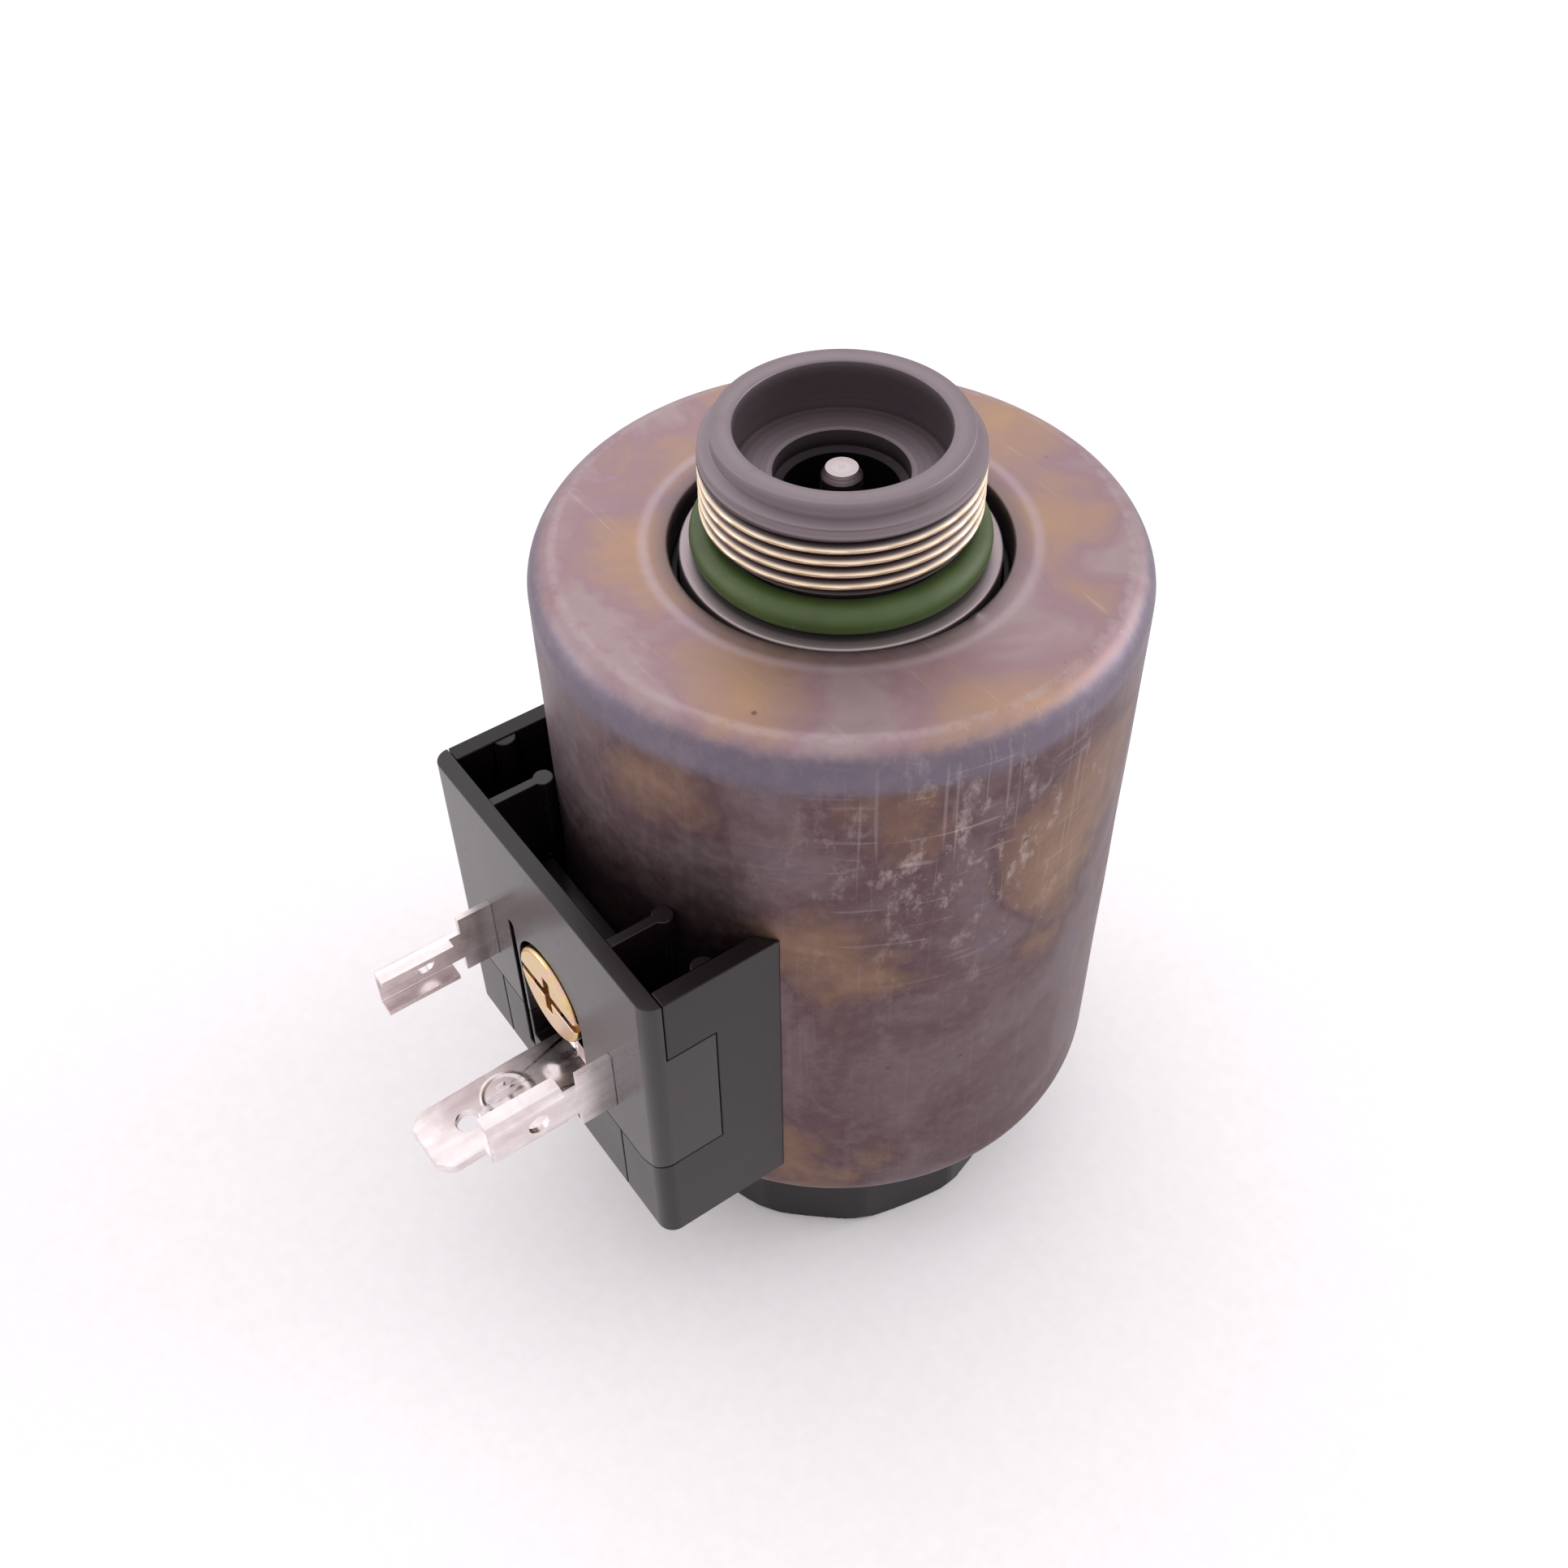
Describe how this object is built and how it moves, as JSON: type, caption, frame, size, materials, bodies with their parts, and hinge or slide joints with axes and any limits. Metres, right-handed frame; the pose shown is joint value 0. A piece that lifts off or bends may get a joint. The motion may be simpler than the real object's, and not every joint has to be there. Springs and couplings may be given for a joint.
{
  "type": "solenoid actuator",
  "caption": "Round wet-pin solenoid coil on a screw-in armature tube, with a threaded spigot and O-ring, side contacts with a ground blade, and a plastic coil nut.",
  "frame": {"origin": "on the tube's axis, in the plane of the collar face that seats on the valve body", "axes": "+Z along the tube's axis, out of the threaded spigot; -Y is the way the connector face looks"},
  "size_m": [0.045, 0.0631, 0.0757],
  "materials": {
    "turned_steel": "fine turned steel, lightly phosphated, satin",
    "can_steel": "drawn steel with grey plating, heat-tinted in patches and scuffed",
    "barrier_bronze": "aluminium bronze, turned",
    "bush_bronze": "sintered bronze, oiled",
    "green_fkm": "satin fluoro rubber",
    "black_nbr": "satin nitrile rubber",
    "black_nylon": "glass-filled nylon, satin with polished areas",
    "nut_plastic": "glass-filled nylon, semi-matt",
    "tinned_brass": "tin-plated brass sheet, bright",
    "yellow_zinc": "zinc plated steel, yellow passivated",
    "copper_wire": "enamelled copper",
    "coil_resin": "filled epoxy resin",
    "spring_steel": "blued spring steel"
  },
  "bodies": {
    "armature_tube_assembly": {"spigot_body": "turned_steel", "spigot_o_ring": "green_fkm", "barrier_ring": "barrier_bronze", "armature_tube": "turned_steel", "stop_disc": "bush_bronze", "front_guide_bush": "bush_bronze", "rear_guide_bush": "bush_bronze", "tube_end_plug": "turned_steel", "end_plug_seal": "green_fkm", "override_clip": "spring_steel"},
    "plunger": {"armature": "turned_steel", "push_pin": "turned_steel"},
    "override": {"override_pin": "turned_steel", "override_o_ring": "green_fkm"},
    "coil": {"coil_housing": "can_steel", "yoke_disc": "can_steel", "bobbin": "coil_resin", "winding": "copper_wire", "encapsulation": "coil_resin", "coil_seal": "black_nbr", "connector_shell": "black_nylon", "terminal_block": "black_nylon", "contact_pin_left": "tinned_brass", "contact_pin_right": "tinned_brass", "ground_blade": "tinned_brass", "ground_screw": "yellow_zinc", "ground_nut": "yellow_zinc", "ground_strap": "tinned_brass", "lead_wire_left": "copper_wire", "lead_wire_right": "copper_wire"},
    "nut_seal_ring": {"nut_seal": "black_nbr"},
    "nut": {"coil_nut": "nut_plastic"}
  },
  "joints": [
    {"name": "armature_stroke", "type": "slide", "parent": "armature_tube_assembly", "child": "plunger", "axis": [0, 0, 1], "range_m": [0, 0.0028]},
    {"name": "override_push", "type": "slide", "parent": "armature_tube_assembly", "child": "override", "axis": [0, 0, 1], "range_m": [0, 0.0028]},
    {"name": "coil_swivel", "type": "hinge", "parent": "armature_tube_assembly", "child": "coil", "pos_m": [0, 0, -0.026], "axis": [0, 0, 1], "continuous": true},
    {"name": "nut_turn", "type": "hinge", "parent": "armature_tube_assembly", "child": "nut_seal_ring", "pos_m": [0, 0, -0.0533], "axis": [0, 0, -1], "range_deg": [0, 3600]},
    {"name": "nut_travel", "type": "slide", "parent": "nut_seal_ring", "child": "nut", "axis": [0, 0, -1], "range_m": [0, 0.01]}
  ],
  "couplings": [
    {"joint": "override_push", "follows": "armature_stroke", "ratio": 1},
    {"joint": "nut_travel", "follows": "nut_turn", "m_per_rad": 0.00015915}
  ]
}
